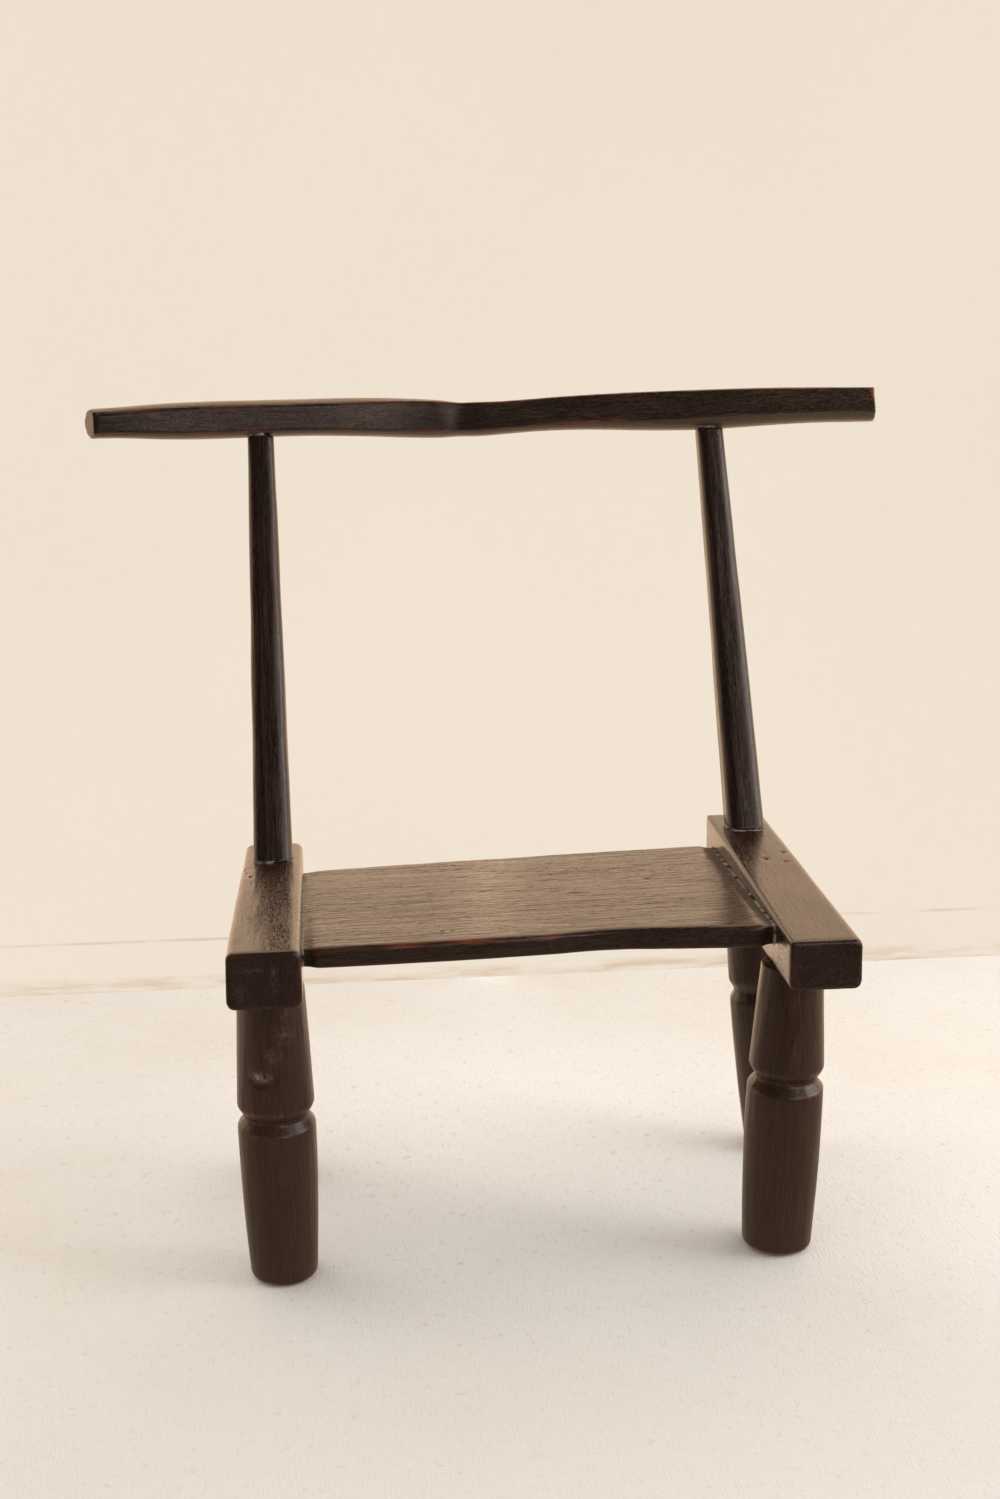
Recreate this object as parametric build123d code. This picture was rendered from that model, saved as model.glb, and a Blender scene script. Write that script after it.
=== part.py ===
from build123d import *
import os
from math import cos, radians, sin

# Low carved chair in millimetres: X across the seat, Y from the front to the back, Z up from the floor.
# It is laid out with x = 0 midway between the side rails and y = 0 at their front ends, and moved at
# the end so that the origin is the bottom centre of its box. The chair is hand carved, so its left
# and right pieces differ, and each side has its own sizes. Seen from the front, left is towards -X.

# Overall sizes
seat_height = 277.0        # mean height of the side rails' top faces
seat_gap = 349.0           # between the inner faces of the two side rails
back_rise = 344.0          # from seat_height up to the crest rail's axis at the posts
crest_length = 678.0       # along X between the middles of the two sawn ends
crest_shift = -4.1         # the crest rail's middle from x = 0

# Joints
fit_clearance = 0.15       # all round between a tenon and its mortise
end_clearance = 1.0        # between a tenon's end and the bottom of its mortise
web = 7.0                  # least wood left between two mortises
tenon_root = 2.0           # how far a tenon's solid reaches back into its own piece

# Side rails, with heights of the top face given from seat_height
rails = {
    "left": dict(length=315.0, front_width=54.6, rear_width=48.5, front_depth=44.0, rear_depth=40.5,
                 front_rise=5.0, rear_rise=-4.0, inner_arris=6.5),
    "right": dict(length=330.0, front_width=54.5, rear_width=51.0, front_depth=39.0, rear_depth=50.0,
                  front_rise=-3.5, rear_rise=4.0, inner_arris=2.8),
}
rail_edge_radius = 6.5     # long edges, except the upper inner one, which each rail gives as its inner_arris
rail_end_radius = 2.5      # edges of the two end faces

# Seat plank between the rails; recess is from a rail's top face down to the plank
plank_edge_radius = 3.5
plank_neck = 7.5           # from the plank's shoulders to the rails
plank_ends = {
    "left": dict(front_setback=44.0, rear_setback=38.0, front_recess=12.5, rear_recess=15.0, thickness=16.5),
    "right": dict(front_setback=48.0, rear_setback=27.0, front_recess=3.5, rear_recess=19.0, thickness=18.5),
}
# share of the half width, distance that the hewn front edge stands back there
plank_front_wave = [
    (-1.00, 0.0), (-0.68, 1.0), (-0.20, 3.2), (0.02, 5.0), (0.16, 8.0), (0.28, 10.8), (0.40, 10.0),
    (0.58, 6.5), (0.78, 3.0), (1.00, 0.0),
]
plank_rear_wave = 2.0      # how far the middle of the rear edge stands back
tenon_thickness = 14.5
tenon_corner = 1.5         # corner radius of the plank's tenons
haunch_setback = 3.0       # of the shallow part of the plank's tenon from the plank's edges
haunch_length = 4.0        # of the shallow part inside a rail
tongue_length = 22.0       # of the deep part inside a rail

# Legs. top: wood left between the tenon and the rail's inner face, and how far back the tenon's middle is.
# foot: the same for the foot's middle, across from the rail's inner face. A negative distance back is
# measured from the rail's rear end. radii: under the rail, above the groove, in it, below it, at the foot.
leg_tenon_radius = 13.0
front_leg_tenon_length = 26.0
groove_upper = 9.0         # height of the groove's upper slope
groove_lower = 7.5         # height of its lower slope
foot_edge = 4.5            # worn edge under the foot
lower_belly = 0.9          # how far the lower section swells beyond a straight taper
legs = {
    "front_leg_left": dict(side="left", top=(11.7, 60.0), foot=(22.3, 70.0), groove_height=134.5,
                           radii=(25.2, 29.2, 24.0, 29.5, 25.8)),
    "front_leg_right": dict(side="right", top=(6.0, 72.0), foot=(10.8, 76.0), groove_height=142.0,
                            radii=(23.8, 29.4, 23.9, 29.9, 26.9)),
    "rear_leg_left": dict(side="left", top=(15.8, -51.0), foot=(26.8, -55.0), groove_height=142.0,
                          radii=(24.0, 26.5, 21.5, 26.5, 20.5)),
    "rear_leg_right": dict(side="right", top=(17.7, -54.0), foot=(45.7, -67.0), groove_height=142.0,
                           radii=(24.5, 26.0, 21.5, 26.0, 20.5)),
}

# Back posts: inset of the base's middle from the rail's inner face and its setback from the rail's rear end
posts = {
    "left": dict(inset=24.2, setback=50.0, base_width=33.0, top_width=22.2, top_shift=-0.8),
    "right": dict(inset=26.5, setback=36.5, base_width=32.4, top_width=23.0, top_shift=-11.2),
}
post_corner = 0.34         # corner radius as a share of the section's width
post_tenon_radius = 9.0
post_tenon_depth = 17.0    # straight down from the rail's top face
post_top_tenon_radius = 7.5
post_top_tenon_past = 2.0  # how far the upper tenon reaches past the crest rail's axis
post_tenon_root = 6.0      # how far a post's tenons reach back past its sloping shoulders
post_scribe = 3.0          # how far a post's top laps round the crest rail
post_top_behind = 3.0      # a post's axis meets the crest rail this far behind the crest's axis

# Crest rail: a bowed bar with a flat front and a round back, which twists from left to right
crest_y = 434.0            # the axis at the middle, behind the front ends of the side rails
crest_skew = 10.0          # how much further back the right end lies than the left
crest_bow = 31.0           # how far the ends come forward of the middle
crest_bow_power = 1.25     # 1 is two straight arms, 2 is a parabola
crest_apex = -0.10         # where the bow's deepest point is, as a share of the half length
crest_end_angles = (25.0, -8.0)
# share of the half length, height of the axis from back_rise, radius, twist of the flat and its half angle
crest_stations = [
    (-1.00, -0.1, 14.7, 4.0, 42.0), (-0.79, 0.8, 15.7, 4.0, 39.0), (-0.58, 0.9, 16.2, 3.0, 40.0),
    (-0.34, 0.2, 16.6, 6.0, 43.0), (-0.15, -2.9, 16.9, 17.0, 51.0), (-0.01, -4.0, 15.2, 25.0, 57.0),
    (0.21, 0.0, 15.0, 29.0, 56.0), (0.43, 0.7, 17.3, 32.0, 51.0), (0.60, 1.6, 17.6, 34.0, 47.0),
    (0.81, 3.8, 16.0, 36.0, 47.0), (1.00, 4.4, 15.3, 39.0, 42.0),
]

sides = {"left": -1, "right": 1}
half_gap = seat_gap / 2


def rail_value(side, front, rear, y):
    """A rail's front and rear values, blended along its length."""
    rail = rails[side]
    share = y / rail["length"]
    return rail[front] + (rail[rear] - rail[front]) * share


def rail_top(side, y):
    return seat_height + rail_value(side, "front_rise", "rear_rise", y)


def rail_underside(side, y):
    return rail_top(side, y) - rail_value(side, "front_depth", "rear_depth", y)


def behind(side, setback):
    """A place along Y: from the rail's front end, or from its rear end when the setback is negative."""
    return setback if setback > 0 else rails[side]["length"] + setback


def slope_plane(side, height, x, y):
    """The plane of a rail's top or underside at a point."""
    step = 1.0
    rise = (height(side, y + step) - height(side, y)) / step
    return Plane(origin=(x, y, height(side, y)), x_dir=(1, 0, 0), z_dir=(0, -rise, 1))


def half_space(plane, upward):
    size = 4 * seat_height
    turned = plane if upward else Plane(origin=plane.origin, x_dir=plane.x_dir, z_dir=-plane.z_dir)
    return turned * Box(size, size, size, align=(Align.CENTER, Align.CENTER, Align.MIN))


def rounded_quad(plane, corners, radius, last_radius=None):
    """A four-sided face with rounded corners given in the plane; the last may have its own radius."""
    face = make_face(Polyline(*corners, close=True))
    if last_radius is None:
        return plane * fillet(face.vertices(), radius)
    last = face.vertices().sort_by_distance(corners[3])
    face = fillet(last[1:], radius)
    return plane * fillet(face.vertices().sort_by_distance(corners[3])[0], last_radius)


def make_rail_blank(side):
    rail = rails[side]
    sections = []
    for end, y in (("front", 0.0), ("rear", rail["length"])):
        inner, width = half_gap, rail[end + "_width"]
        near, far = sides[side] * inner, sides[side] * (inner + width)
        low, high = rail_underside(side, y), rail_top(side, y)
        corners = [(near, low), (far, low), (far, high), (near, high)]
        sections.append(rounded_quad(Plane.XZ.offset(-y), corners, rail_edge_radius, rail["inner_arris"]))
    blank = loft(sections, ruled=True)
    ends = [blank.faces().sort_by(Axis.Y)[i] for i in (0, -1)]
    return fillet(ends[0].edges() + ends[1].edges(), rail_end_radius)


def plank_corner(side):
    """Front and rear (y, z) of the plank's top face at one side's rail."""
    end = plank_ends[side]
    front = end["front_setback"]
    rear = rails[side]["length"] - end["rear_setback"]
    front_height = rail_top(side, front) - end["front_recess"]
    return (front, front_height), (rear, rail_top(side, rear) - end["rear_recess"])


def plank_thickness(x):
    left, right = (plank_ends[side]["thickness"] for side in sides)
    return left + (right - left) * (x + half_gap) / seat_gap


def plank_section(x, inset, lift, front_move=0.0, rear_move=0.0, front_edge=None, rear_edge=None):
    """The plank's cross-section at x, drawn in by inset at its edges and by lift above and below."""
    share = (x + half_gap) / seat_gap
    ends = [plank_corner("left"), plank_corner("right")]
    (y1, z1), (y2, z2) = [tuple(a + (b - a) * share for a, b in zip(*pair)) for pair in zip(*ends)]
    slope = (z2 - z1) / (y2 - y1)
    thickness = plank_thickness(x)
    front = (front_edge if front_edge is not None else y1 + front_move) + inset
    rear = (rear_edge if rear_edge is not None else y2 + rear_move) - inset
    corners = [(y, z1 + slope * (y - y1) + z) for y, z in (
        (front, -lift), (rear, -lift), (rear, lift - thickness), (front, lift - thickness))]
    return Plane.YZ.offset(x), corners


def make_plank_body():
    edge = half_gap - plank_neck
    sections = []
    for share, wave in plank_front_wave:
        rear_move = plank_rear_wave * (1 - share * share)
        plane, corners = plank_section(share * edge, 0, 0, front_move=wave, rear_move=rear_move)
        sections.append(rounded_quad(plane, corners, plank_edge_radius))
    return loft(sections, ruled=True)


def tongue_limits(side):
    """Where the deep part of the plank's tenon may run between the legs' and the post's tenons."""
    reach = leg_tenon_radius + web
    fronts = [leg_top(name).Y for name in legs if legs[name]["side"] == side]
    rear_of_tongue = min(max(fronts) - reach, post_base(side).Y - post_tenon_radius - web - post_lean(side))
    return min(fronts) + reach, rear_of_tongue


def make_plank_tenon(side, grow):
    """One end's haunched tenon, or with grow the mortise that it fits."""
    lift = (plank_thickness(sides[side] * half_gap) - tenon_thickness) / 2 - grow
    start = half_gap - plank_neck - tenon_root
    deep = end_clearance if grow else 0.0
    haunch = [plank_section(sides[side] * x, haunch_setback - grow, lift)
              for x in (start, half_gap + haunch_length + deep)]
    front, rear = tongue_limits(side)
    tongue = [plank_section(sides[side] * x, -grow, lift, front_edge=front, rear_edge=rear)
              for x in (start, half_gap + tongue_length + deep)]
    solids = [loft([rounded_quad(plane, corners, tenon_corner) for plane, corners in pair], ruled=True)
              for pair in (haunch, tongue)]
    return solids[0] + solids[1]


def leg_point(name, end):
    """The middle of a leg's top or foot."""
    leg = legs[name]
    across, setback = leg[end]
    if end == "top":
        across += leg_tenon_radius
    return sides[leg["side"]] * (half_gap + across), behind(leg["side"], setback)


def leg_top(name):
    x, y = leg_point(name, "top")
    return Vector(x, y, rail_underside(legs[name]["side"], y))


def leg_plane(name):
    x, y = leg_point(name, "foot")
    foot = Vector(x, y, 0)
    return Plane(origin=foot, x_dir=(1, 0, 0), z_dir=leg_top(name) - foot)


def leg_tenon_length(name):
    """Front tenons have their own length; rear ones leave a web under the post's tenon."""
    leg = legs[name]
    if leg["top"][1] > 0:
        return front_leg_tenon_length
    top = leg_top(name)
    return rail_top(leg["side"], top.Y) - top.Z - post_tenon_depth - web


def make_leg_tenon(name, grow):
    plane = leg_plane(name)
    length = (leg_top(name) - plane.origin).length
    height = tenon_root + leg_tenon_length(name) + (end_clearance if grow else 0.0)
    tenon = Cylinder(leg_tenon_radius + grow, height, align=(Align.CENTER, Align.CENTER, Align.MIN))
    return plane.offset(length - tenon_root) * tenon


def make_leg_body(name):
    leg = legs[name]
    top, above, neck, below, foot = leg["radii"]
    plane = leg_plane(name)
    length = (leg_top(name) - plane.origin).length
    groove = leg["groove_height"]
    high, low = groove + groove_upper, groove - groove_lower
    spare = 12.0           # cut away by the rail's underside and by the floor
    middle = ((below + foot) / 2 + lower_belly, (low + foot_edge) / 2)
    profile = [
        Polyline((0, -spare), (foot - foot_edge, -spare), (foot - foot_edge, 0), (foot, foot_edge)),
        ThreePointArc((foot, foot_edge), middle, (below, low)),
        Polyline((below, low), (neck, groove), (above, high), (top, length), (top, length + spare),
                 (0, length + spare), (0, -spare)),
    ]
    section = make_face(Plane.XZ * Curve(profile))
    body = plane * revolve(section, Axis.Z)
    x, y = leg_point(name, "top")
    body &= half_space(slope_plane(leg["side"], rail_underside, x, y), upward=False)
    return body & half_space(Plane.XY, upward=True)


def post_base(side):
    post, rail = posts[side], rails[side]
    y = rail["length"] - post["setback"]
    return Vector(sides[side] * (half_gap + post["inset"]), y, rail_top(side, y))


def post_target(side):
    """Where the post's axis meets the crest rail."""
    x = post_base(side).X + posts[side]["top_shift"]
    y, z = crest_axis(crest_share(x))
    return Vector(x, y + post_top_behind, z)


def post_plane(side):
    base = post_base(side)
    return Plane(origin=base, x_dir=(1, 0, 0), z_dir=post_target(side) - base)


def post_lean(side):
    """How far forward the post's lower tenon reaches at its end."""
    along = post_target(side) - post_base(side)
    return post_tenon_depth * along.Y / along.Z


def post_section(plane, width):
    return plane * RectangleRounded(width, width, post_corner * width)


def make_post_body(side, crest):
    post = posts[side]
    plane = post_plane(side)
    length = (post_target(side) - plane.origin).length
    spare = 25.0           # cut away by the rail's top face
    taper = (post["top_width"] - post["base_width"]) / length
    ends = ((-spare, post["base_width"] - taper * spare), (length, post["top_width"]))
    body = loft([post_section(plane.offset(s), width) for s, width in ends], ruled=True)
    base = plane.origin
    body &= half_space(slope_plane(side, rail_top, base.X, base.Y), upward=True)
    target = post_target(side)
    lap = Plane(origin=(target.X, target.Y, target.Z - crest_radius(crest_share(target.X)) + post_scribe))
    return (body & half_space(lap, upward=False)) - crest


def make_post_tenons(side, grow):
    """The tenons at a post's two ends, or with grow their mortises."""
    plane = post_plane(side)
    along = post_target(side) - plane.origin
    upright = along.Z / along.length
    deep = end_clearance if grow else 0.0
    at_bottom = (Align.CENTER, Align.CENTER, Align.MIN)
    length = post_tenon_root + post_tenon_depth / upright + deep
    lower = plane.offset(post_tenon_root - length) * Cylinder(
        post_tenon_radius + grow, length, align=at_bottom)
    under = crest_radius(crest_share(post_target(side).X)) / upright
    upper_length = under + post_tenon_root + post_top_tenon_past + deep
    upper = plane.offset(along.length - under - post_tenon_root) * Cylinder(
        post_top_tenon_radius + grow, upper_length, align=at_bottom)
    return lower, upper


def crest_share(x):
    return (x - crest_shift) / (crest_length / 2)


def crest_axis(share):
    """The (y, z) of the crest rail's axis."""
    arm = abs(share - crest_apex) / (1 - crest_apex * (1 if share > crest_apex else -1))
    y = crest_y + crest_skew / 2 * share - crest_bow * arm ** crest_bow_power
    return y, seat_height + back_rise + crest_value(share, 1)


def crest_radius(share):
    return crest_value(share, 2)


def crest_value(share, column):
    """A column of the crest's stations, blended between the two nearest."""
    for first, second in zip(crest_stations, crest_stations[1:]):
        if share <= second[0]:
            break
    blend = (share - first[0]) / (second[0] - first[0])
    return first[column] + (second[column] - first[column]) * blend


def crest_section(share):
    y, z = crest_axis(share)
    radius, twist, flat = (crest_value(share, column) for column in (2, 3, 4))
    corners = []
    for angle in (twist + flat, twist + 180, twist - flat):
        corners.append((y - radius * cos(radians(angle)), z + radius * sin(radians(angle))))
    plane = Plane.YZ.offset(crest_shift + share * crest_length / 2)
    outline = Curve([ThreePointArc(*corners), Line(corners[2], corners[0])])
    return plane * make_face(outline)


def make_crest():
    spare = 0.06           # of the half length, sawn off at each end
    inner = [share for share, *rest in crest_stations[1:-1]]
    bar = loft([crest_section(share) for share in [-1 - spare, *inner, 1 + spare]])
    for side, angle in zip(sides, crest_end_angles):
        share = sides[side]
        y, z = crest_axis(share)
        outward = (share * cos(radians(angle)), share * sin(radians(angle)), 0)
        saw = Plane(origin=(crest_shift + share * crest_length / 2, y, z), x_dir=(0, 0, 1), z_dir=outward)
        bar &= half_space(saw, upward=False)
    return bar


pieces = {}
crest = make_crest()
plank = make_plank_body()
for side in sides:
    rail = make_rail_blank(side) - make_plank_tenon(side, fit_clearance)
    lower, upper = make_post_tenons(side, fit_clearance)
    rail -= lower
    for name in legs:
        if legs[name]["side"] == side:
            rail -= make_leg_tenon(name, fit_clearance)
    pieces["side_rail_" + side] = rail
    plank += make_plank_tenon(side, 0)
    lower, upper = make_post_tenons(side, 0)
    pieces["back_post_" + side] = make_post_body(side, crest) + lower + upper
for side in sides:
    crest -= make_post_tenons(side, fit_clearance)[1]
for name in legs:
    pieces[name] = make_leg_body(name) + make_leg_tenon(name, 0)
pieces["seat_plank"] = plank
pieces["crest_rail"] = crest

box = Compound([piece.solid() for piece in pieces.values()]).bounding_box()
to_origin = Vector(-box.center().X, -box.center().Y, -box.min.Z)

os.makedirs("parts", exist_ok=True)
for name, piece in pieces.items():
    export_step(Pos(to_origin) * piece.solid(), f"parts/{name}.step")
print("origin moved by", [round(v, 2) for v in to_origin])
print("size", [round(v, 1) for v in box.size])
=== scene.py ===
import math

import bmesh
import bpy
import numpy as np
from mathutils import Matrix, Vector


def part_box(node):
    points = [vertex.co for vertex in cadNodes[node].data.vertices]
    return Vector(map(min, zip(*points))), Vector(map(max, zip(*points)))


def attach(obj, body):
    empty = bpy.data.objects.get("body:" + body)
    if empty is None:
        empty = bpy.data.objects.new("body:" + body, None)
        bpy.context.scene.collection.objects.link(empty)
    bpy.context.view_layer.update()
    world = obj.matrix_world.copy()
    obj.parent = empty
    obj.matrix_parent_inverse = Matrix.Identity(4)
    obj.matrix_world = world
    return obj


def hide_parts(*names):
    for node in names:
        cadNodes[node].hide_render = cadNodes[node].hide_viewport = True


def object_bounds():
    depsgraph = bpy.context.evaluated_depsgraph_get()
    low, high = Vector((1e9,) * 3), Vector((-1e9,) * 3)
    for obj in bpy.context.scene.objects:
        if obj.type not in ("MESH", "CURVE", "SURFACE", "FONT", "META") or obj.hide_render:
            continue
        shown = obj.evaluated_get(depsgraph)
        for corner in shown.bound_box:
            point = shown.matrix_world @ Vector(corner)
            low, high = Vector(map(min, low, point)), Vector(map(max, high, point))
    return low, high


# A low carved chair in metres: X across the seat, Y from the front to the back, Z up from the floor.
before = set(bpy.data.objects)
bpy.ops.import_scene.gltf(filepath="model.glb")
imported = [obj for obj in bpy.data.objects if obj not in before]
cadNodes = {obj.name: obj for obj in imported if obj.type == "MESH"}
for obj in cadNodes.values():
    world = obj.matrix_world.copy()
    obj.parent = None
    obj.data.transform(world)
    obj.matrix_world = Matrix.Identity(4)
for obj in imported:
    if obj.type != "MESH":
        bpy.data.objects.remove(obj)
cadLow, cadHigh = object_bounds()
print("frame loaded with", len(cadNodes), "pieces")


def addNode(tree, kind, wires, **settings):
    made = tree.nodes.new(kind)
    for name, value in settings.items():
        setattr(made, name, value)
    for key, value in wires.items():
        if isinstance(value, bpy.types.NodeSocket):
            tree.links.new(value, made.inputs[key])
        else:
            made.inputs[key].default_value = value
    return made


def calc(tree, operation, first, second=0.0, third=0.0, clamp=False):
    wires = {0: first, 1: second, 2: third}
    return addNode(tree, "ShaderNodeMath", wires, operation=operation, use_clamp=clamp).outputs[0]


def vectorCalc(tree, operation, first, second=(0, 0, 0)):
    return addNode(tree, "ShaderNodeVectorMath", {0: first, 1: second}, operation=operation)


def ramp(tree, value, low, high, toLow=0.0, toHigh=1.0):    # a smooth step from one value to another
    wires = {"Value": value, "From Min": low, "From Max": high, "To Min": toLow, "To Max": toHigh}
    return addNode(tree, "ShaderNodeMapRange", wires, interpolation_type="SMOOTHSTEP").outputs[0]


def noise(tree, place, scale, detail=2.0, roughness=0.5, twist=0.0):
    wires = {"Vector": place, "Scale": scale, "Detail": detail, "Roughness": roughness, "Distortion": twist}
    return addNode(tree, "ShaderNodeTexNoise", wires).outputs[0]


def times(tree, first, second):
    return calc(tree, "MULTIPLY", first, second)


def offFrom(tree, value, middle):    # how far a number is from a middle value
    return calc(tree, "ABSOLUTE", calc(tree, "SUBTRACT", value, middle))


def stretched(tree, place, sizes):    # the place measured in lengths of a pattern's own sizes
    return vectorCalc(tree, "DIVIDE", place, sizes).outputs[0]


def less(tree, place, start):
    return vectorCalc(tree, "SUBTRACT", place, start).outputs[0]


def lengthOf(tree, vector):
    return vectorCalc(tree, "LENGTH", vector).outputs["Value"]


def scaled(tree, vector, factor):
    return addNode(tree, "ShaderNodeVectorMath", {0: vector, "Scale": factor}, operation="SCALE").outputs[0]


def parts(tree, vector):    # its X, Y and Z
    return addNode(tree, "ShaderNodeSeparateXYZ", {0: vector}).outputs


def bumped(tree, height, strength, reach):
    wires = {"Strength": strength, "Distance": reach, "Height": height}
    return addNode(tree, "ShaderNodeBump", wires).outputs[0]


def blendColour(tree, share, first, second):
    wires = {0: share, 6: first, 7: second}
    return addNode(tree, "ShaderNodeMix", wires, data_type="RGBA").outputs[2]


def rgb(red, green, blue):
    return (red, green, blue, 1.0)


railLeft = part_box("side_rail_left")      # lowest and highest corners
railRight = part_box("side_rail_right")
seatMiddle = (railLeft[1].x + railRight[0].x) / 2
railFront = min(railLeft[0].y, railRight[0].y)
cameraLook = {
    "place": (-0.153, -1.398, 0.752),    # from midway between the rails' front ends, on the floor
    "yaw": 4.92,      # degrees to the right
    "pitch": 13.23,   # degrees down
    "roll": 0.74,     # degrees clockwise
    "lens": 50.0,     # millimetres
    "sensor": 36.0,
}


def makeCamera():
    data = bpy.data.cameras.new("camera")
    data.lens = cameraLook["lens"]
    data.sensor_width = cameraLook["sensor"]
    camera = bpy.data.objects.new("camera", data)
    bpy.context.scene.collection.objects.link(camera)
    turn = (Matrix.Rotation(-math.radians(cameraLook["yaw"]), 4, "Z")
            @ Matrix.Rotation(math.radians(90 - cameraLook["pitch"]), 4, "X")
            @ Matrix.Rotation(-math.radians(cameraLook["roll"]), 4, "Z"))
    right, back, up = cameraLook["place"]
    camera.matrix_world = Matrix.Translation((seatMiddle + right, railFront + back, up)) @ turn
    bpy.context.scene.camera = camera


makeCamera()
print("camera placed")


# base and warm are the two colours of the streaks, gloss the roughness, relief how deep the streaks stand,
# wear how red the arrises are rubbed, fissures how many fine splits run with the grain, and the last
# number how much painted sheen lightens the faces turned up and down
woodLook = {
    "dark_wood_rails": {"base": rgb(0.0165, 0.0085, 0.0057), "warm": rgb(0.040, 0.0185, 0.0115),
                        "gloss": 0.20, "relief": 0.35, "wear": 0.12, "fissures": 0.15, "paintedSheen": 0.0},
    "dark_wood_seat": {"base": rgb(0.0180, 0.0094, 0.0061), "warm": rgb(0.044, 0.0215, 0.0130),
                       "gloss": 0.20, "relief": 0.85, "wear": 0.20, "fissures": 0.95, "paintedSheen": 0.0},
    "dark_wood_legs": {"base": rgb(0.0265, 0.0130, 0.0083), "warm": rgb(0.056, 0.0215, 0.0125),
                       "gloss": 0.28, "relief": 0.28, "wear": 0.60, "fissures": 0.03, "paintedSheen": 0.0},
    "dark_wood_posts": {"base": rgb(0.0110, 0.0056, 0.0038), "warm": rgb(0.050, 0.0170, 0.0095),
                        "gloss": 0.26, "relief": 0.7, "wear": 0.15, "fissures": 0.25, "paintedSheen": 0.0},
    "dark_wood_crest": {"base": rgb(0.0135, 0.0073, 0.0052), "warm": rgb(0.035, 0.0160, 0.0105),
                        "gloss": 0.26, "relief": 0.7, "wear": 0.95, "fissures": 0.35, "paintedSheen": 0.85},
}
woodGrain = {
    "streaks": (0.060, 0.0016, 0.0016),    # length along the grain and the two widths across it
    "fissures": (0.055, 0.0042, 0.0042),
    "pores": (0.0060, 0.00034, 0.00034),
    "blotches": (0.070, 0.026, 0.026),
    "edgeColour": rgb(0.150, 0.034, 0.014),
    "darkColour": rgb(0.0035, 0.0025, 0.0020),
    # the colour of the painted sheen on the crest's upper and under faces
    "paintedSheenColour": rgb(0.072, 0.045, 0.029),
    "waxColour": rgb(0.42, 0.35, 0.29),
    "waxWidth": 0.0016,
    "waxShare": 0.85,
    "waxPatches": 130.0,      # patches to a metre, in the seams
    "smearPatches": 260.0,    # and in the smears
    "crackWidth": 0.0006,
    "crackShare": 0.85,
    "crackWander": 0.006,     # how far a crack strays from its line
    "crackBends": 160.0,
    "poreShare": 0.55,
    "poreRoughness": 0.14,    # added to the gloss in the pores
    "markRoughness": 0.4,     # and on wax, stains and cracks
    "streakHeight": 0.55,
    "poreDepth": 0.25,
    "darkDepth": 0.9,
    "gritSize": 900.0,
    "gritHeight": 0.14,
    "bumpStrength": 0.55,
    "bumpReach": 0.0004,
    "refraction": 1.42,
}
# hairline cracks in the side rails and the crest rail, each from one point to another
hairCracks = {
    "dark_wood_rails": [
        ((0.192, -0.125, 0.276), (0.200, -0.135, 0.276)),
        ((0.200, -0.135, 0.276), (0.222, -0.141, 0.275)),
        ((0.213, -0.052, 0.277), (0.234, -0.049, 0.274)),
        ((-0.212, -0.135, 0.279), (-0.190, -0.157, 0.280)),
        ((-0.190, -0.157, 0.280), (-0.168, -0.162, 0.277)),
    ],
    "dark_wood_crest": [
        ((0.0175, 0.200, 0.628), (0.0168, 0.197, 0.606)),
        ((0.0966, 0.196, 0.629), (0.0985, 0.198, 0.605)),
    ],
}


def crackMask(tree, cracks):    # 1 along the cracks, 0 away from them
    place = tree.nodes.new("ShaderNodeTexCoord").outputs["Object"]
    bends = {"Vector": place, "Scale": woodGrain["crackBends"], "Detail": 3.0}
    wander = less(tree, addNode(tree, "ShaderNodeTexNoise", bends).outputs["Color"], (0.5, 0.5, 0.5))
    place = vectorCalc(tree, "ADD", place, scaled(tree, wander, woodGrain["crackWander"])).outputs[0]
    width = woodGrain["crackWidth"]
    mask = 0.0
    for start, end in cracks:
        run = Vector(end) - Vector(start)
        away = less(tree, place, start)
        along = vectorCalc(tree, "DOT_PRODUCT", away, run[:]).outputs["Value"]
        share = calc(tree, "MULTIPLY", along, 1.0 / run.length_squared, clamp=True)
        gap = lengthOf(tree, less(tree, away, scaled(tree, run[:], share)))
        mask = calc(tree, "MAXIMUM", mask, ramp(tree, gap, width * 0.3, width, 1.0, 0.0))
    return mask


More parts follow.
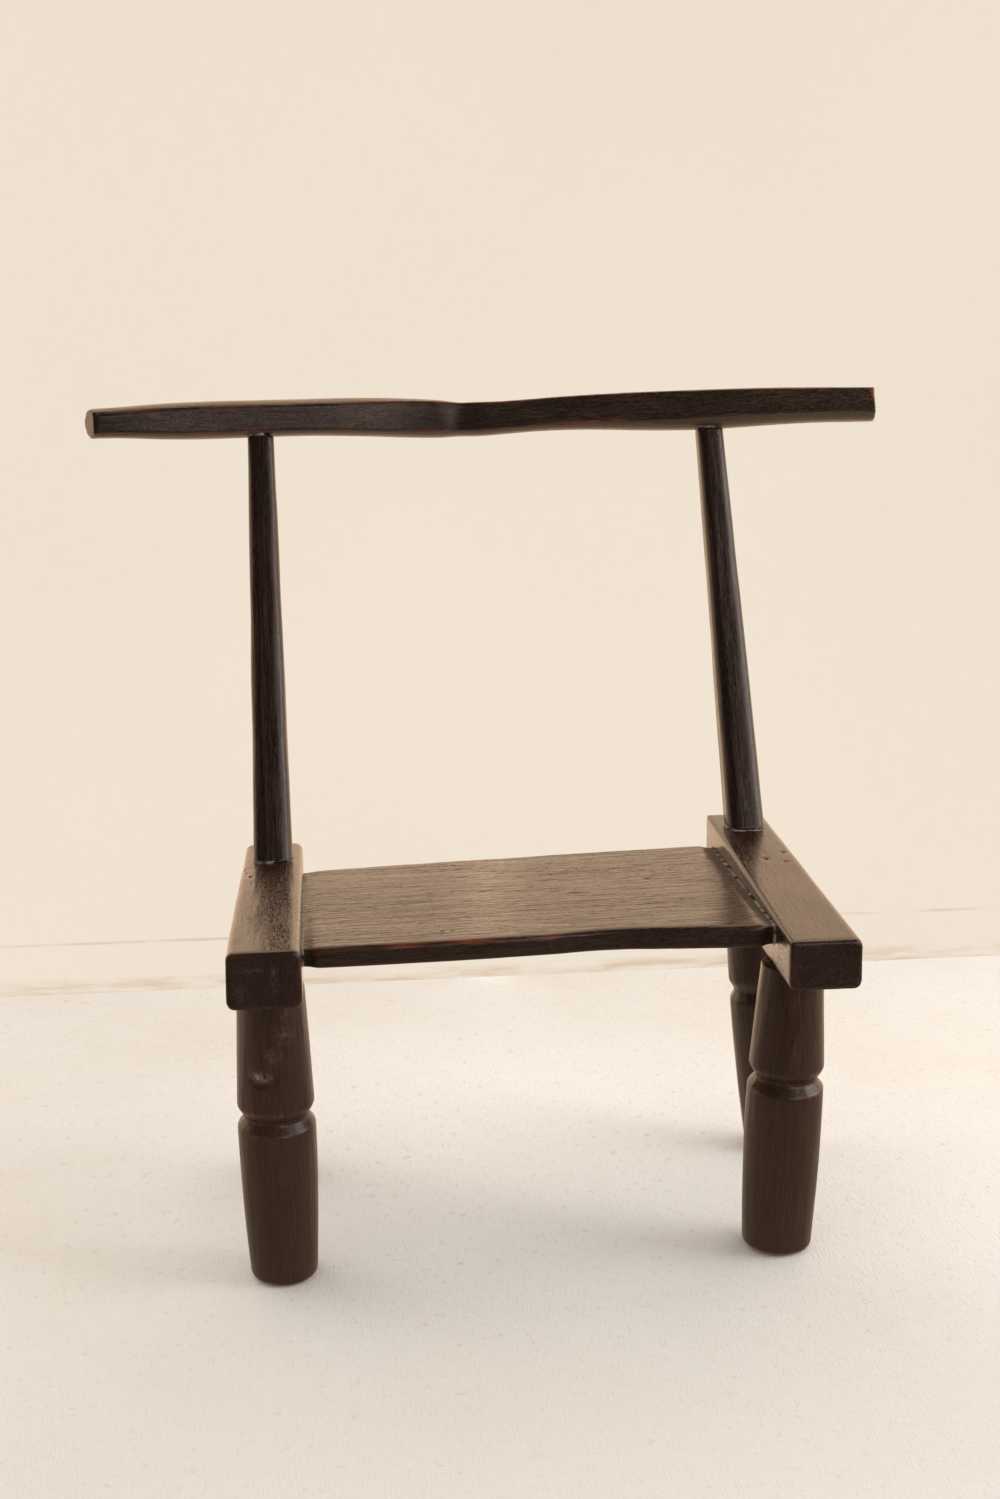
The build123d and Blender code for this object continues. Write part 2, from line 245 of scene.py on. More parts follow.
def darkWood(name):
    look = woodLook[name]
    material = bpy.data.materials.new(name)
    material.use_nodes = True
    tree = material.node_tree
    shader = tree.nodes["Principled BSDF"]
    grain = addNode(tree, "ShaderNodeAttribute", {}, attribute_name="grain").outputs["Vector"]
    edge, seam, stain, rub, smear = (
        addNode(tree, "ShaderNodeAttribute", {}, attribute_name=n).outputs["Fac"]
        for n in ("edge", "seam", "stain", "rub", "smear"))

    streaks = noise(tree, stretched(tree, grain, woodGrain["streaks"]), 1.0, 4.0, 0.62, 0.3)
    blotches = noise(tree, stretched(tree, grain, woodGrain["blotches"]), 1.0, 2.0)
    pores = noise(tree, stretched(tree, grain, woodGrain["pores"]), 1.0, 1.0)
    poreMask = ramp(tree, pores, 0.56, 0.70)
    splits = noise(tree, stretched(tree, grain, woodGrain["fissures"]), 1.0, 2.0, 0.5, 0.6)
    split = ramp(tree, offFrom(tree, splits, 0.5), 0.004, 0.016, 1.0, 0.0)
    split = times(tree, split, ramp(tree, blotches, 0.40, 0.62, 0.1, 1.0))
    dark = calc(tree, "MAXIMUM", times(tree, split, look["fissures"]), stain)
    if name in hairCracks:
        cracks = times(tree, crackMask(tree, hairCracks[name]), woodGrain["crackShare"])
        dark = calc(tree, "MAXIMUM", dark, cracks)

    warmPatch = ramp(tree, blotches, 0.30, 0.75, 0.25, 1.0)
    warmShare = times(tree, ramp(tree, streaks, 0.42, 0.72), warmPatch)
    colour = blendColour(tree, warmShare, look["base"], look["warm"])
    if look["paintedSheen"]:    # painted sheen: paler on the faces turned up and down than on the flat front, standing in for their reflection of the pale floor and cloth
        upward = parts(tree, tree.nodes.new("ShaderNodeNewGeometry").outputs["Normal"])[2]
        above = ramp(tree, upward, 0.72, 0.90)
        below = ramp(tree, upward, -0.35, -0.08, 1.0, 0.0)
        share = times(tree, calc(tree, "MAXIMUM", above, below), look["paintedSheen"])
        colour = blendColour(tree, share, colour, woodGrain["paintedSheenColour"])
    colour = blendColour(tree, times(tree, poreMask, woodGrain["poreShare"]), colour, woodGrain["darkColour"])
    wornPatch = ramp(tree, blotches, 0.46, 0.66, 0.0, look["wear"])
    worn = times(tree, ramp(tree, edge, 0.35, 1.0), wornPatch)
    worn = calc(tree, "MAXIMUM", worn, times(tree, rub, ramp(tree, edge, 0.10, 0.75)))
    worn = times(tree, worn, ramp(tree, streaks, 0.34, 0.60, 0.25, 1.0))
    colour = blendColour(tree, worn, colour, woodGrain["edgeColour"])
    colour = blendColour(tree, dark, colour, woodGrain["darkColour"])
    near = ramp(tree, seam, woodGrain["waxWidth"] * 0.35, woodGrain["waxWidth"], 1.0, 0.0)
    wax = times(tree, near, ramp(tree, noise(tree, grain, woodGrain["waxPatches"], 3.0), 0.40, 0.56))
    colour = blendColour(tree, times(tree, wax, woodGrain["waxShare"]), colour, woodGrain["waxColour"])
    smearPatch = ramp(tree, noise(tree, grain, woodGrain["smearPatches"], 4.0, 0.65), 0.36, 0.66)
    colour = blendColour(tree, times(tree, smear, smearPatch), colour, woodGrain["waxColour"])
    tree.links.new(colour, shader.inputs["Base Color"])

    roughness = ramp(tree, streaks, 0.25, 0.80, look["gloss"] - 0.04, look["gloss"] + 0.08)
    roughness = calc(tree, "ADD", roughness, times(tree, poreMask, woodGrain["poreRoughness"]))
    marks = times(tree, calc(tree, "MAXIMUM", wax, dark), woodGrain["markRoughness"])
    tree.links.new(calc(tree, "ADD", roughness, marks, clamp=True), shader.inputs["Roughness"])

    grit = times(tree, noise(tree, grain, woodGrain["gritSize"], 2.0), woodGrain["gritHeight"])
    height = calc(tree, "MULTIPLY_ADD", streaks, woodGrain["streakHeight"] * look["relief"], grit)
    height = calc(tree, "SUBTRACT", height, times(tree, poreMask, woodGrain["poreDepth"]))
    height = calc(tree, "SUBTRACT", height, times(tree, dark, woodGrain["darkDepth"]))
    bump = bumped(tree, height, woodGrain["bumpStrength"], woodGrain["bumpReach"])
    tree.links.new(bump, shader.inputs["Normal"])
    shader.inputs["IOR"].default_value = woodGrain["refraction"]
    return material


woods = {name: darkWood(name) for name in woodLook}
print("wood finishes made")


# Each piece gets an even skin, and then knife facets (length, width, depth), wide hollows (size, depth)
# and raised grain (length, width, depth). Pits are (place, reach in x y z, depth, darkness), and rubbed
# patches, where the arrises are worn red, and smears of old wax are (place, reach, strength).
carving = {
    "side_rail_left": {
        "slot": "dark_wood_rails", "along": "y", "voxel": 0.0011, "shrink": 0.6,
        "facet": (0.090, 0.024, 0.00015), "hollow": (0.160, 0.00060), "ridges": (0.050, 0.0040, 0.00010),
        "pits": [((-0.216, 0.007, 0.275), (0.003, 0.003, 0.003), 0.0007, 0.6),
                 ((-0.210, -0.020, 0.276), (0.002, 0.004, 0.003), 0.0006, 0.6),
                 ((-0.214, -0.008, 0.276), (0.002, 0.003, 0.003), 0.0005, 0.5)],
    },
    "side_rail_right": {
        "slot": "dark_wood_rails", "along": "y", "voxel": 0.0011, "shrink": 0.6,
        "facet": (0.090, 0.024, 0.00015), "hollow": (0.160, 0.00060), "ridges": (0.050, 0.0040, 0.00010),
        "pits": [((0.222, -0.013, 0.278), (0.0035, 0.004, 0.003), 0.0008, 0.8),
                 ((0.204, -0.027, 0.278), (0.003, 0.005, 0.003), 0.0009, 0.9),
                 ((0.219, -0.037, 0.278), (0.004, 0.003, 0.003), 0.0008, 0.8)],
    },
    "seat_plank": {
        "slot": "dark_wood_seat", "along": "x", "voxel": 0.00093, "shrink": 0.35,
        "facet": (0.120, 0.040, 0.00008), "hollow": (0.180, 0.00050), "ridges": (0.060, 0.0028, 0.00030),
        "pits": [((0.108, -0.026, 0.265), (0.005, 0.0035, 0.003), 0.0012, 1.0),
                 ((0.035, 0.037, 0.262), (0.005, 0.003, 0.003), 0.0008, 0.8),
                 ((-0.016, 0.060, 0.260), (0.004, 0.003, 0.003), 0.0006, 0.6),
                 ((-0.040, 0.006, 0.262), (0.005, 0.002, 0.003), 0.0006, 0.5)],
        "rubbed": [((-0.095, -0.176, 0.268), (0.022, 0.02, 0.010), 0.9),
                   ((-0.045, -0.175, 0.269), (0.026, 0.02, 0.010), 1.0),
                   ((0.012, -0.172, 0.269), (0.016, 0.02, 0.010), 0.6)],
    },
    "crest_rail": {
        "slot": "dark_wood_crest", "along": "x", "voxel": 0.0009, "shrink": 0.5,
        "facet": (0.070, 0.020, 0.00010), "hollow": (0.120, 0.00040), "ridges": (0.040, 0.0030, 0.00010),
        "pits": [((-0.022, 0.199, 0.620), (0.016, 0.030, 0.026), 0.0024, 0.0),     # the kink
                 ((-0.003, 0.199, 0.623), (0.003, 0.004, 0.003), 0.0006, 0.6)],
    },
    "back_post_left": {
        "slot": "dark_wood_posts", "along": "z", "voxel": 0.0009, "shrink": 0.7,
        "facet": (0.080, 0.012, 0.00025), "hollow": (0.110, 0.00060), "ridges": (0.050, 0.0028, 0.00010),
        "pits": [],
    },
    "back_post_right": {
        "slot": "dark_wood_posts", "along": "z", "voxel": 0.0009, "shrink": 0.7,
        "facet": (0.080, 0.012, 0.00025), "hollow": (0.110, 0.00060), "ridges": (0.050, 0.0028, 0.00010),
        "pits": [],
    },
}
for legName in ("front_leg_left", "front_leg_right", "rear_leg_left", "rear_leg_right"):
    carving[legName] = {
        "slot": "dark_wood_legs", "along": "z", "voxel": 0.0010, "shrink": 0.9,
        "facet": (0.090, 0.013, 0.00032), "hollow": (0.100, 0.00060), "ridges": (0.050, 0.0035, 0.00010),
        "pits": [],
    }
carving["front_leg_left"]["pits"] = [    # a knot with a gouge below it
    ((-0.210, -0.186, 0.170), (0.003, 0.006, 0.003), 0.0012, 0.7),
    ((-0.203, -0.189, 0.167), (0.009, 0.008, 0.0035), 0.0013, 0.35),
    ((-0.192, -0.190, 0.176), (0.006, 0.008, 0.010), 0.0010, 0.0),
]
carving["front_leg_left"]["smeared"] = [
    ((-0.203, -0.189, 0.173), (0.009, 0.012, 0.005), 0.50),
    ((-0.193, -0.190, 0.190), (0.008, 0.012, 0.008), 0.12),
    ((-0.184, -0.189, 0.206), (0.009, 0.012, 0.009), 0.14),
    ((-0.180, -0.187, 0.220), (0.008, 0.012, 0.009), 0.10),
]
carving["side_rail_left"]["smeared"] = [
    ((-0.189, -0.2247, 0.262), (0.003, 0.010, 0.011), 0.13),
    ((-0.206, -0.2247, 0.268), (0.013, 0.010, 0.002), 0.10),
    ((-0.212, -0.2247, 0.252), (0.007, 0.010, 0.009), 0.06),
]
skinWork = {
    "softenRounds": 4,         # rounds of blurring that take away the voxels' steps
    "wearRounds": 14,          # rounds of blurring that find the raised arrises
    "raisedFrom": 0.00004,     # an arris that stands out this far begins to be worn
    "raisedFull": 0.00042,
    "seedStep": 0.37,
    "mergeGap": 0.000002,
}


def carveTree():
    tree = bpy.data.node_groups.new("carvedWood", "GeometryNodeTree")
    sockets = [("Geometry", "Geometry"), ("Neighbours", "Object"), ("Grain Turn", "Vector"),
               ("Soften", "Int"), ("Seed", "Float"), ("Wood", "Material"),
               ("Facet Length", "Float"), ("Facet Width", "Float"), ("Facet Depth", "Float"),
               ("Hollow Size", "Float"), ("Hollow Depth", "Float"),
               ("Ridge Length", "Float"), ("Ridge Width", "Float"), ("Ridge Depth", "Float")]
    for name, kind in sockets:
        tree.interface.new_socket(name, in_out="INPUT", socket_type="NodeSocket" + kind)
    tree.interface.new_socket("Geometry", in_out="OUTPUT", socket_type="NodeSocketGeometry")
    given = tree.nodes.new("NodeGroupInput").outputs

    def blurred(value, rounds):
        return addNode(tree, "GeometryNodeBlurAttribute", {0: value, "Iterations": rounds},
                       data_type="FLOAT_VECTOR").outputs[0]

    def store(geometry, name, value, kind):
        made = addNode(tree, "GeometryNodeStoreNamedAttribute", {"Geometry": geometry, "Name": name},
                       data_type=kind, domain="POINT")
        tree.links.new(value, made.inputs["Value"])
        return made.outputs[0]

    def joined(first, second, third):
        return addNode(tree, "ShaderNodeCombineXYZ", {0: first, 1: second, 2: third}).outputs[0]

    position = tree.nodes.new("GeometryNodeInputPosition").outputs[0]
    normal = tree.nodes.new("GeometryNodeInputNormal").outputs[0]
    smoothed = {"Geometry": given["Geometry"], "Position": blurred(position, given["Soften"])}
    soft = addNode(tree, "GeometryNodeSetPosition", smoothed).outputs[0]

    seed = given["Seed"]
    grain = addNode(tree, "ShaderNodeVectorRotate", {"Vector": position, "Rotation": given["Grain Turn"]},
                    rotation_type="EULER_XYZ").outputs[0]
    seeded = vectorCalc(tree, "ADD", grain, joined(seed, seed, seed)).outputs[0]
    marked = store(soft, "grain", seeded, "FLOAT_VECTOR")

    def sized(length, width):    # the place along the grain, in a pattern's own length and width
        return stretched(tree, seeded, joined(length, width, width))

    pattern = {"Vector": sized(given["Facet Length"], given["Facet Width"]), "Scale": 1.0, "Randomness": 0.85}
    cells = addNode(tree, "ShaderNodeTexVoronoi", pattern, feature="DISTANCE_TO_EDGE").outputs["Distance"]
    facet = times(tree, ramp(tree, cells, 0.0, 0.45), given["Facet Depth"])
    wide = noise(tree, sized(given["Hollow Size"], times(tree, given["Hollow Size"], 0.45)), 1.0, 1.0)
    hollow = times(tree, ramp(tree, wide, 0.30, 0.75), given["Hollow Depth"])
    fibres = noise(tree, sized(given["Ridge Length"], given["Ridge Width"]), 1.0, 3.0, 0.55, 0.4)
    ridge = times(tree, ramp(tree, fibres, 0.30, 0.66, 1.0, 0.0), given["Ridge Depth"])
    depth = calc(tree, "ADD", calc(tree, "ADD", facet, hollow), ridge)
    inward = scaled(tree, normal, times(tree, depth, -1.0))
    cut = addNode(tree, "GeometryNodeSetPosition", {"Geometry": marked, "Offset": inward}).outputs[0]

    lift = less(tree, position, blurred(position, skinWork["wearRounds"]))
    raised = vectorCalc(tree, "DOT_PRODUCT", lift, normal).outputs["Value"]
    worn = store(cut, "edge", ramp(tree, raised, skinWork["raisedFrom"], skinWork["raisedFull"]), "FLOAT")

    others = addNode(tree, "GeometryNodeObjectInfo", {"Object": given["Neighbours"]}).outputs["Geometry"]
    gap = addNode(tree, "GeometryNodeProximity", {0: others}, target_element="FACES").outputs["Distance"]
    seamed = store(worn, "seam", gap, "FLOAT")

    smooth = addNode(tree, "GeometryNodeSetShadeSmooth", {"Geometry": seamed}).outputs[0]
    real = addNode(tree, "GeometryNodeRealizeInstances", {"Geometry": smooth}).outputs[0]
    wood = addNode(tree, "GeometryNodeSetMaterial", {"Geometry": real, "Material": given["Wood"]}).outputs[0]
    tree.links.new(wood, tree.nodes.new("NodeGroupOutput").inputs[0])
    return tree


def meshObject(name, mesh):
    made = bpy.data.objects.new(name, mesh)
    bpy.context.scene.collection.objects.link(made)
    return made


def mergedCopy(names, label):    # a joined copy of CAD pieces, with the doubled points merged
    work = bmesh.new()
    for name in names:
        work.from_mesh(cadNodes[name].data)
    bmesh.ops.remove_doubles(work, verts=work.verts, dist=skinWork["mergeGap"])
    mesh = bpy.data.meshes.new(label)
    work.to_mesh(mesh)
    work.free()
    return mesh


def settled(piece):    # the piece's evaluated mesh, as a plain mesh with no modifiers left
    graph = bpy.context.evaluated_depsgraph_get()
    evaluated = piece.evaluated_get(graph)
    mesh = bpy.data.meshes.new_from_object(evaluated, preserve_all_data_layers=True, depsgraph=graph)
    piece.modifiers.clear()
    piece.data = mesh
    return mesh


# the piece is shortened along its grain while the voxels are laid, so that they end up long
def evenSkin(name, voxel, shrink, along):
    mesh = mergedCopy([name], name + "_carved")
    scale = Matrix.Identity(4)
    axis = "xyz".index(along)
    scale[axis][axis] = shrink
    mesh.transform(scale)
    piece = meshObject(name + "_carved", mesh)
    remesh = piece.modifiers.new("skin", "REMESH")
    remesh.mode = "VOXEL"
    remesh.voxel_size = voxel
    settled(piece).transform(scale.inverted())
    return piece


def pieceAxis(name, along):    # the line through a long piece, found from the middles of its two ends
    points = np.array([v.co for v in cadNodes[name].data.vertices])
    axis = "xyz".index(along)
    heights = points[:, axis]
    reach = 0.12 * np.ptp(heights)
    low = points[heights < heights.min() + reach].mean(axis=0)
    high = points[heights > heights.max() - reach].mean(axis=0)
    return Vector(high - low).normalized()


def pressPits(piece, cut):    # pushes the pits in, and stores where they and the rubbed patches are
    mesh = piece.data
    points = np.empty(3 * len(mesh.vertices))
    normals = np.empty_like(points)
    mesh.vertices.foreach_get("co", points)
    mesh.vertex_normals.foreach_get("vector", normals)
    points, normals = points.reshape(-1, 3), normals.reshape(-1, 3)
    marks = {label: np.zeros(len(points)) for label in ("stain", "rub", "smear")}

    def nearness(place, reach):
        return np.exp(-2.0 * (((points - place) / reach) ** 2).sum(axis=1))

    for place, reach, depth, darkness in cut["pits"]:
        press = nearness(place, reach)
        points -= normals * (depth * press)[:, None]
        marks["stain"] = np.maximum(marks["stain"], darkness * press ** 2)
    for label, key in (("rub", "rubbed"), ("smear", "smeared")):
        for place, reach, strength in cut.get(key, []):
            marks[label] = np.maximum(marks[label], strength * nearness(place, reach))
    mesh.vertices.foreach_set("co", points.ravel())
    for label, values in marks.items():
        mesh.attributes.new(label, "FLOAT", "POINT").data.foreach_set("value", values)
    mesh.update()


def carve(name, tree, count):
    cut = carving[name]
    piece = evenSkin(name, cut["voxel"], cut["shrink"], cut["along"])
    others = meshObject("neighbours", mergedCopy([n for n in cadNodes if n != name], "neighbours"))
    turn = pieceAxis(name, cut["along"]).rotation_difference(Vector((1, 0, 0))).to_euler()
    values = {"Neighbours": others, "Grain Turn": turn[:], "Soften": skinWork["softenRounds"],
              "Seed": skinWork["seedStep"] * count, "Wood": woods[cut["slot"]]}
    for feature, names in (("facet", ("Facet Length", "Facet Width", "Facet Depth")),
                           ("hollow", ("Hollow Size", "Hollow Depth")),
                           ("ridges", ("Ridge Length", "Ridge Width", "Ridge Depth"))):
        values.update(zip(names, cut[feature]))
    knife = piece.modifiers.new("carving", "NODES")
    knife.node_group = tree
    for item in tree.interface.items_tree:
        if item.in_out == "INPUT" and item.name in values:
            knife[item.identifier] = values[item.name]
    settled(piece)
    bpy.data.objects.remove(others)
    pressPits(piece, cut)
    piece.name = name + "_wood"
    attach(piece, "root")
    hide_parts(name)
    print(name, "carved,", len(piece.data.polygons), "faces")


knifeWork = carveTree()
for count, name in enumerate(carving):
    carve(name, knifeWork, count)


def flatSheet(name, corners, material):
    mesh = bpy.data.meshes.new(name)
    mesh.from_pydata(corners, [], [(0, 1, 2, 3)])
    mesh.materials.append(material)
    return meshObject(name, mesh)


floorLook = {
    "halfWidth": 6.0,
    "colour": rgb(0.855, 0.825, 0.80),
    "cloudShade": (0.965, 0.94, 0.90),      # the darker clouds, as shares of the colour
    "cloudScale": 4.0,
    "front": rgb(0.728, 0.703, 0.682),      # painted shade: a little darker in front of the chair
    "frontRun": (-0.45, -0.10),             # all of it as far forward as the first, none at the second
    "middle": rgb(0.95, 0.925, 0.905),      # painted light: paler under the chair, where the seat's shadow would fall
    "middlePlace": (-0.03, 0.02, 0.0),
    "middleRun": (0.12, 0.42),
    "soil": rgb(0.62, 0.47, 0.34),
    "soilScale": 95.0,
    "threads": rgb(0.66, 0.55, 0.44),
    "warp": (0.0016, 0.012, 0.010),         # the sizes of a thread
    "weft": (0.010, 0.0016, 0.0016),
    "cloudHeight": 6.0,
    "roughness": 0.9,
    "bumpStrength": 0.35,
    "bumpReach": 0.001,
    "mirrored": rgb(1.10, 0.80, 0.58),      # what the glossy wood gets from the floor by the cloth
    "mirroredRun": (-0.35, 0.45),           # and it is dimmer forwards
    "mirroredFront": 0.38,
    "canvasEdge": -0.66,                    # in front of this the wood mirrors the dark room's floor
    "edgeBlur": 0.08,
    "pastEdge": 0.05,
}


def canvasFloor():    # pale woven canvas, mottled and a little soiled, with painted shade in front of the chair, painted light under it and a painted glow that only glossy rays see
    material = bpy.data.materials.new("canvasFloor")
    material.use_nodes = True
    material.cycles.emission_sampling = "NONE"
    tree = material.node_tree
    shader = tree.nodes["Principled BSDF"]
    place = tree.nodes.new("ShaderNodeTexCoord").outputs["Object"]
    towardsCloth = parts(tree, place)[1]
    cloud = noise(tree, place, floorLook["cloudScale"], 5.0, 0.62)
    warp = noise(tree, stretched(tree, place, floorLook["warp"]), 1.0, 2.0)
    weft = noise(tree, stretched(tree, place, floorLook["weft"]), 1.0, 2.0)
    soil = noise(tree, place, floorLook["soilScale"], 3.0, 0.6)
    shaded = tuple(c * k for c, k in zip(floorLook["colour"], floorLook["cloudShade"])) + (1.0,)
    colour = blendColour(tree, ramp(tree, cloud, 0.30, 0.62), shaded, floorLook["colour"])
    frontShadeShare = ramp(tree, towardsCloth, *floorLook["frontRun"], 1.0, 0.0)
    colour = blendColour(tree, frontShadeShare, colour, floorLook["front"])
    off = lengthOf(tree, less(tree, place, floorLook["middlePlace"]))
    underLightShare = ramp(tree, off, *floorLook["middleRun"], 1.0, 0.0)
    colour = blendColour(tree, underLightShare, colour, floorLook["middle"])
    colour = blendColour(tree, ramp(tree, soil, 0.60, 0.74, 0.0, 0.35), colour, floorLook["soil"])
    colour = blendColour(tree, ramp(tree, warp, 0.30, 0.42, 0.25, 0.0), colour, floorLook["threads"])
    tree.links.new(colour, shader.inputs["Base Color"])
    shader.inputs["Roughness"].default_value = floorLook["roughness"]
    height = calc(tree, "ADD", calc(tree, "ADD", warp, weft), times(tree, cloud, floorLook["cloudHeight"]))
    bump = bumped(tree, height, floorLook["bumpStrength"], floorLook["bumpReach"])
    tree.links.new(bump, shader.inputs["Normal"])

    # painted reflection: glossy rays see the floor as a glow of a set colour, dimmer forwards, in place of
    # its lit shade
    fall = ramp(tree, towardsCloth, *floorLook["mirroredRun"], floorLook["mirroredFront"], 1.0)
    edge, blur = floorLook["canvasEdge"], floorLook["edgeBlur"]
    fall = times(tree, fall, ramp(tree, towardsCloth, edge - blur, edge + blur, floorLook["pastEdge"], 1.0))
    glow = {"Color": floorLook["mirrored"], "Strength": fall}
    mirrored = addNode(tree, "ShaderNodeEmission", glow).outputs[0]
    isGlossy = tree.nodes.new("ShaderNodeLightPath").outputs["Is Glossy Ray"]
    mix = addNode(tree, "ShaderNodeMixShader", {0: isGlossy, 1: shader.outputs[0], 2: mirrored}).outputs[0]
    tree.links.new(mix, tree.nodes["Material Output"].inputs["Surface"])
    return material


clothLook = {
    "behind": 0.275,                        # from the chair's back to the hanging cloth
    "halfWidth": 3.0,
    "top": 3.2,
    "seen": rgb(0.868, 0.762, 0.640),
    "mirrored": rgb(1.68, 1.17, 0.78),      # what the glossy wood gets from the cloth
    "light": rgb(1.05, 0.97, 0.86),         # what lights the dull part of surfaces
    "warp": (0.0020, 0.1, 0.030),           # the sizes of a thread
    "weft": (0.030, 0.1, 0.0020),
    "cloudScale": 1.6,
    "topRun": (0.7, 1.5),                   # from this height to this it grows darker
    "topShade": 0.945,
    "hemHeight": 0.055,
    # the hem line's own colour, also used for the painted shade along the cloth's foot
    "hemAndFootShadeColour": rgb(0.60, 0.40, 0.24),
    "hemPatches": (0.09, 1.0, 0.012),
    "hemShare": 0.55,
    "footShadeShare": 0.60,                      # painted shade: the darker strip along the floor, where the cloth meets it
    "upperRun": (0.72, 0.95),
    "upperGain": 1.8,                       # how much brighter the cloth's upper part is mirrored
    "streakPlace": 0.019,                   # painted reflection: a brighter band of the cloth's glow across from the middle, which the camera doesn't see, only the wood's gloss and bounce
    "streakWidth": 0.045,
    "streakGain": 0.32,
}


def creamCloth():    # glows evenly, and shows from its front only, so that it never hides the chair's back
    material = bpy.data.materials.new("creamCloth")
    material.use_nodes = True
    material.cycles.emission_sampling = "NONE"
    tree = material.node_tree
    tree.nodes.clear()
    place = tree.nodes.new("ShaderNodeTexCoord").outputs["Object"]
    across, _, height = parts(tree, place)
    warp = noise(tree, stretched(tree, place, clothLook["warp"]), 1.0, 2.0)
    weft = noise(tree, stretched(tree, place, clothLook["weft"]), 1.0, 2.0)
    cloud = ramp(tree, noise(tree, place, clothLook["cloudScale"], 3.0), 0.2, 0.8, 0.98, 1.02)
    tone = calc(tree, "ADD", cloud, ramp(tree, warp, 0.2, 0.8, -0.012, 0.012))
    tone = calc(tree, "ADD", tone, ramp(tree, weft, 0.2, 0.8, -0.010, 0.010))
    tone = times(tree, tone, ramp(tree, height, *clothLook["topRun"], 1.0, clothLook["topShade"]))

    patches = noise(tree, stretched(tree, place, clothLook["hemPatches"]), 1.0, 4.0, 0.6)
    offHem = offFrom(tree, height, clothLook["hemHeight"])
    line = ramp(tree, offHem, 0.0006, 0.0022, clothLook["hemShare"], 0.0)
    # painted shade in patches along the cloth's foot, where it meets the floor; the hem line above it is the
    # cloth's own
    footShade = ramp(tree, height, 0.006, 0.020, clothLook["footShadeShare"], 0.0)
    hemAndFootShade = times(tree, calc(tree, "MAXIMUM", line, footShade), ramp(tree, patches, 0.36, 0.70))
    seen = blendColour(tree, hemAndFootShade, clothLook["seen"], clothLook["hemAndFootShadeColour"])

    off = offFrom(tree, across, clothLook["streakPlace"])
    streak = ramp(tree, off, 0.0, clothLook["streakWidth"], 1.0 + clothLook["streakGain"], 1.0)
    streak = times(tree, streak, ramp(tree, height, *clothLook["upperRun"], 1.0, clothLook["upperGain"]))
    path = tree.nodes.new("ShaderNodeLightPath").outputs
    colour = blendColour(tree, path["Is Glossy Ray"], clothLook["light"], clothLook["mirrored"])
    colour = blendColour(tree, path["Is Camera Ray"], colour, seen)
    light = addNode(tree, "ShaderNodeMix", {0: path["Is Camera Ray"], 2: streak, 3: tone}).outputs[0]
    glow = addNode(tree, "ShaderNodeEmission", {"Color": colour, "Strength": light}).outputs[0]
    behind = tree.nodes.new("ShaderNodeNewGeometry").outputs["Backfacing"]
    clear = tree.nodes.new("ShaderNodeBsdfTransparent").outputs[0]
    mix = addNode(tree, "ShaderNodeMixShader", {0: behind, 1: glow, 2: clear}).outputs[0]
    addNode(tree, "ShaderNodeOutputMaterial", {"Surface": mix})
    return material


def makeStage():
    half = floorLook["halfWidth"]
    corners = [(-half, -half, 0), (half, -half, 0), (half, half, 0), (-half, half, 0)]
    floor = flatSheet("floor", corners, canvasFloor())
    half, back, top = clothLook["halfWidth"], cadHigh.y + clothLook["behind"], clothLook["top"]
    corners = [(-half, back, 0), (half, back, 0), (half, back, top), (-half, back, top)]
    cloth = flatSheet("backdrop", corners, creamCloth())


windowLook = {
    "place": (2.7, -0.5, 1.15),
    "aim": (0, 0, 0.25),
    "size": (1.8, 1.9),
    "power": 46,
    "colour": (1.0, 0.985, 0.96),
}


def makeWindow():
    data = bpy.data.lights.new("window", "AREA")
    data.shape = "RECTANGLE"
    data.size, data.size_y = windowLook["size"]
    data.energy = windowLook["power"]
    data.color = windowLook["colour"]
    lamp = bpy.data.objects.new("window", data)
    bpy.context.scene.collection.objects.link(lamp)
    lamp.location = windowLook["place"]
    lamp.rotation_euler = (Vector(windowLook["aim"]) - lamp.location).to_track_quat("-Z", "Y").to_euler()


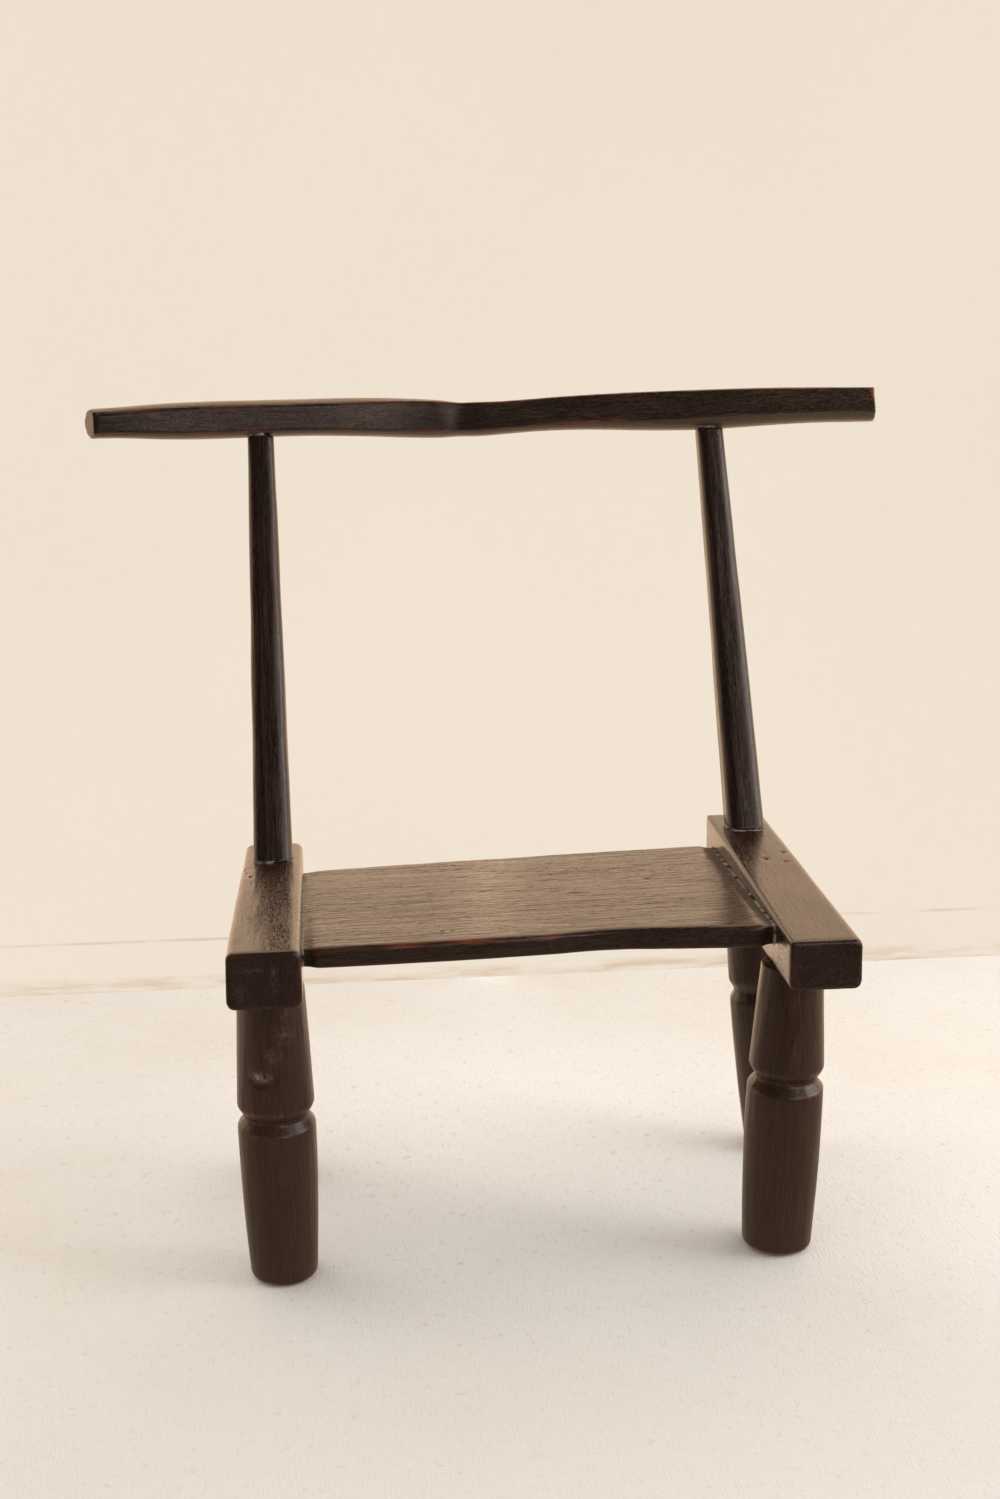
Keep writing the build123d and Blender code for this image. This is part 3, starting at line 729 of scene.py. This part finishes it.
# the pairs are where something begins and where it is full, in a unit vector's right, back or up part
roomLook = {
    "ambient": rgb(1.17, 1.09, 0.99),       # what lights the dull part of a surface from the sides
    "overhead": rgb(0.60, 0.57, 0.53),      # and from above
    "overheadUp": (0.15, 0.80),
    "dim": rgb(0.016, 0.013, 0.011),        # what a glossy surface mirrors in front
    "rightWall": rgb(0.75, 0.50, 0.36),     # and on the right
    "wallRight": (0.25, 0.9),
    "paleDoor": rgb(3.30, 2.50, 2.20),      # and low on the front right
    "doorLeft": (0.10, 0.24),
    "doorRight": (0.55, 0.75),
    "doorBack": (-0.3, -0.1),
    "doorFoot": (-0.10, 0.00),
    "doorTops": (0.32, 0.62),               # taller on its right
    "doorStep": (0.42, 0.55),
    "doorBlur": (-0.02, 0.10),
    "seen": rgb(0.80, 0.74, 0.66),          # what shows beyond the cloth from other sides
}


def makeRoom():
    world = bpy.data.worlds.new("room")
    bpy.context.scene.world = world
    world.use_nodes = True
    world.cycles.sampling_method = "NONE"
    tree = world.node_tree
    path = tree.nodes.new("ShaderNodeLightPath").outputs
    rightward, backward, upward = parts(tree, tree.nodes.new("ShaderNodeTexCoord").outputs["Generated"])
    wall = ramp(tree, rightward, *roomLook["wallRight"])
    mirrored = blendColour(tree, wall, roomLook["dim"], roomLook["rightWall"])
    door = ramp(tree, rightward, *roomLook["doorLeft"])
    door = times(tree, door, ramp(tree, rightward, *roomLook["doorRight"], 1.0, 0.0))
    door = times(tree, door, ramp(tree, backward, *roomLook["doorBack"], 1.0, 0.0))
    door = times(tree, door, ramp(tree, upward, *roomLook["doorFoot"]))
    top = ramp(tree, rightward, *roomLook["doorStep"], *roomLook["doorTops"])
    overTop = calc(tree, "SUBTRACT", upward, top)
    door = times(tree, door, ramp(tree, overTop, *roomLook["doorBlur"], 1.0, 0.0))
    mirrored = blendColour(tree, door, mirrored, roomLook["paleDoor"])
    fromAbove = ramp(tree, upward, *roomLook["overheadUp"])
    light = blendColour(tree, fromAbove, roomLook["ambient"], roomLook["overhead"])
    colour = blendColour(tree, path["Is Glossy Ray"], light, mirrored)
    colour = blendColour(tree, path["Is Camera Ray"], colour, roomLook["seen"])
    tree.links.new(colour, tree.nodes["Background"].inputs["Color"])


makeStage()
makeWindow()
makeRoom()
bpy.context.scene.view_settings.view_transform = "Standard"
print("stage and lights set")
